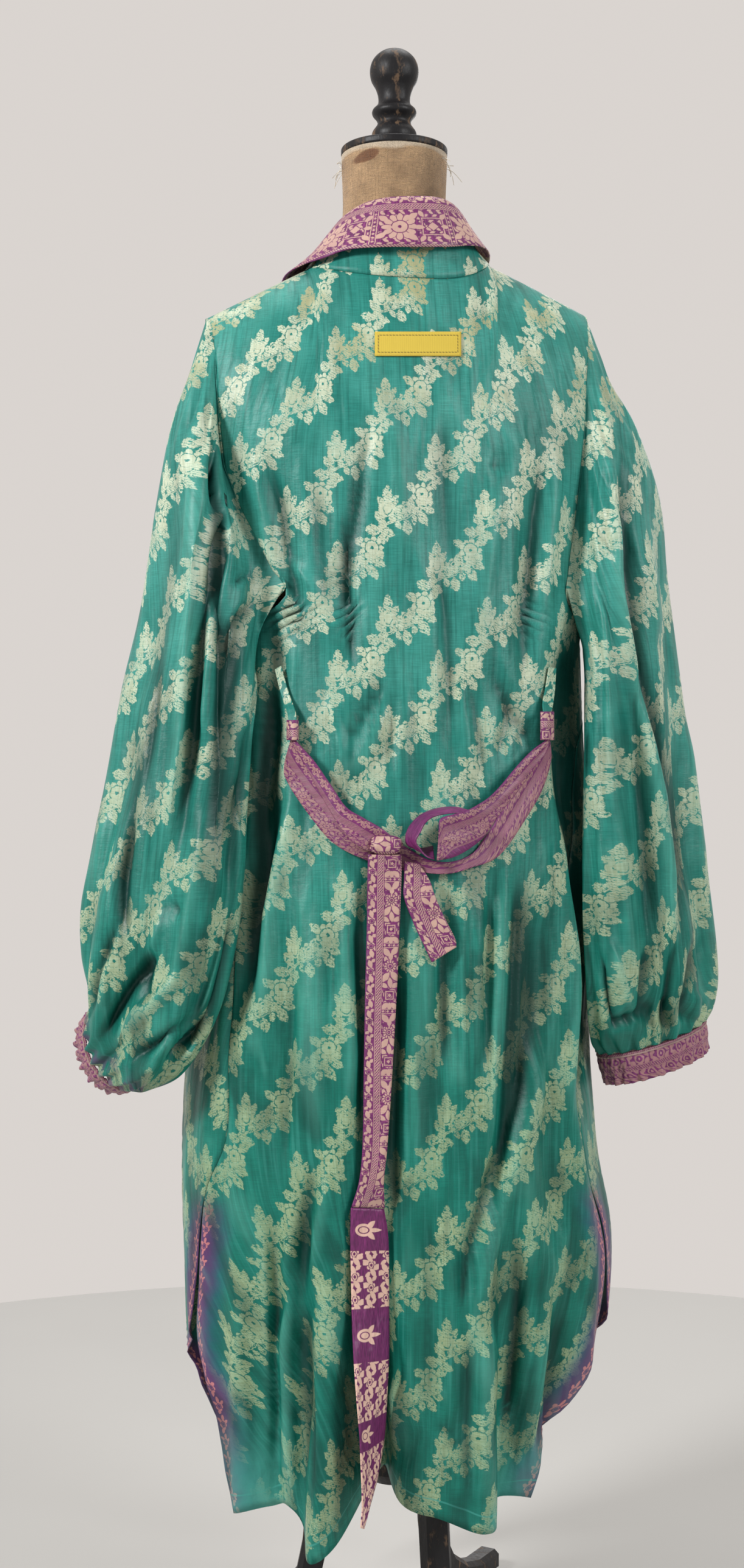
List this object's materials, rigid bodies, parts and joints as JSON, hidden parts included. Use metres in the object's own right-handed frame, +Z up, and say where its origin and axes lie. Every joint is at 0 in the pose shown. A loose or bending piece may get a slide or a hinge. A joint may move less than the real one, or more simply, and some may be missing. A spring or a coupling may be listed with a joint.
{
  "type": "kimono robe on a dress form",
  "caption": "Long kimono robe in brocade silk with wide gathered sleeves, smocked cuffs, a folded collar band and a belt knotted at the back, on a dress form with a tripod stand.",
  "frame": {"origin": "on the floor, under the middle of the whole part's box", "axes": "+Z up, +X to the right of somebody who looks at the robe's back, +Y toward the robe's open front"},
  "size_m": [0.7173, 0.3934, 1.7126],
  "materials": {
    "green_silk": "soft sheen",
    "purple_silk": "soft sheen",
    "yellow_tape": "matte",
    "old_linen": "matte",
    "black_wood": "worn satin"
  },
  "bodies": {
    "root": {"back_panel": "green_silk", "front_left": "green_silk", "front_right": "green_silk", "sleeve_left": "green_silk", "sleeve_right": "green_silk", "neck_band": "green_silk", "carrier_tab_left": "green_silk", "carrier_tab_right": "green_silk", "cuff_left": "purple_silk", "cuff_right": "purple_silk", "collar_band": "purple_silk", "belt_garland": "purple_silk", "belt_strap_left": "purple_silk", "belt_strap_right": "purple_silk", "belt_bow_loop": "purple_silk", "belt_short_tail": "purple_silk", "belt_tail_upper": "purple_silk", "belt_tail_lower": "purple_silk", "belt_knot": "purple_silk", "carrier_left": "purple_silk", "carrier_right": "purple_silk", "back_label": "yellow_tape", "form_torso": "old_linen", "neck_cap": "black_wood", "finial": "black_wood", "stand_pole": "black_wood", "stand_hub": "black_wood", "stand_leg_1": "black_wood", "stand_leg_2": "black_wood", "stand_leg_3": "black_wood"}
  },
  "joints": []
}
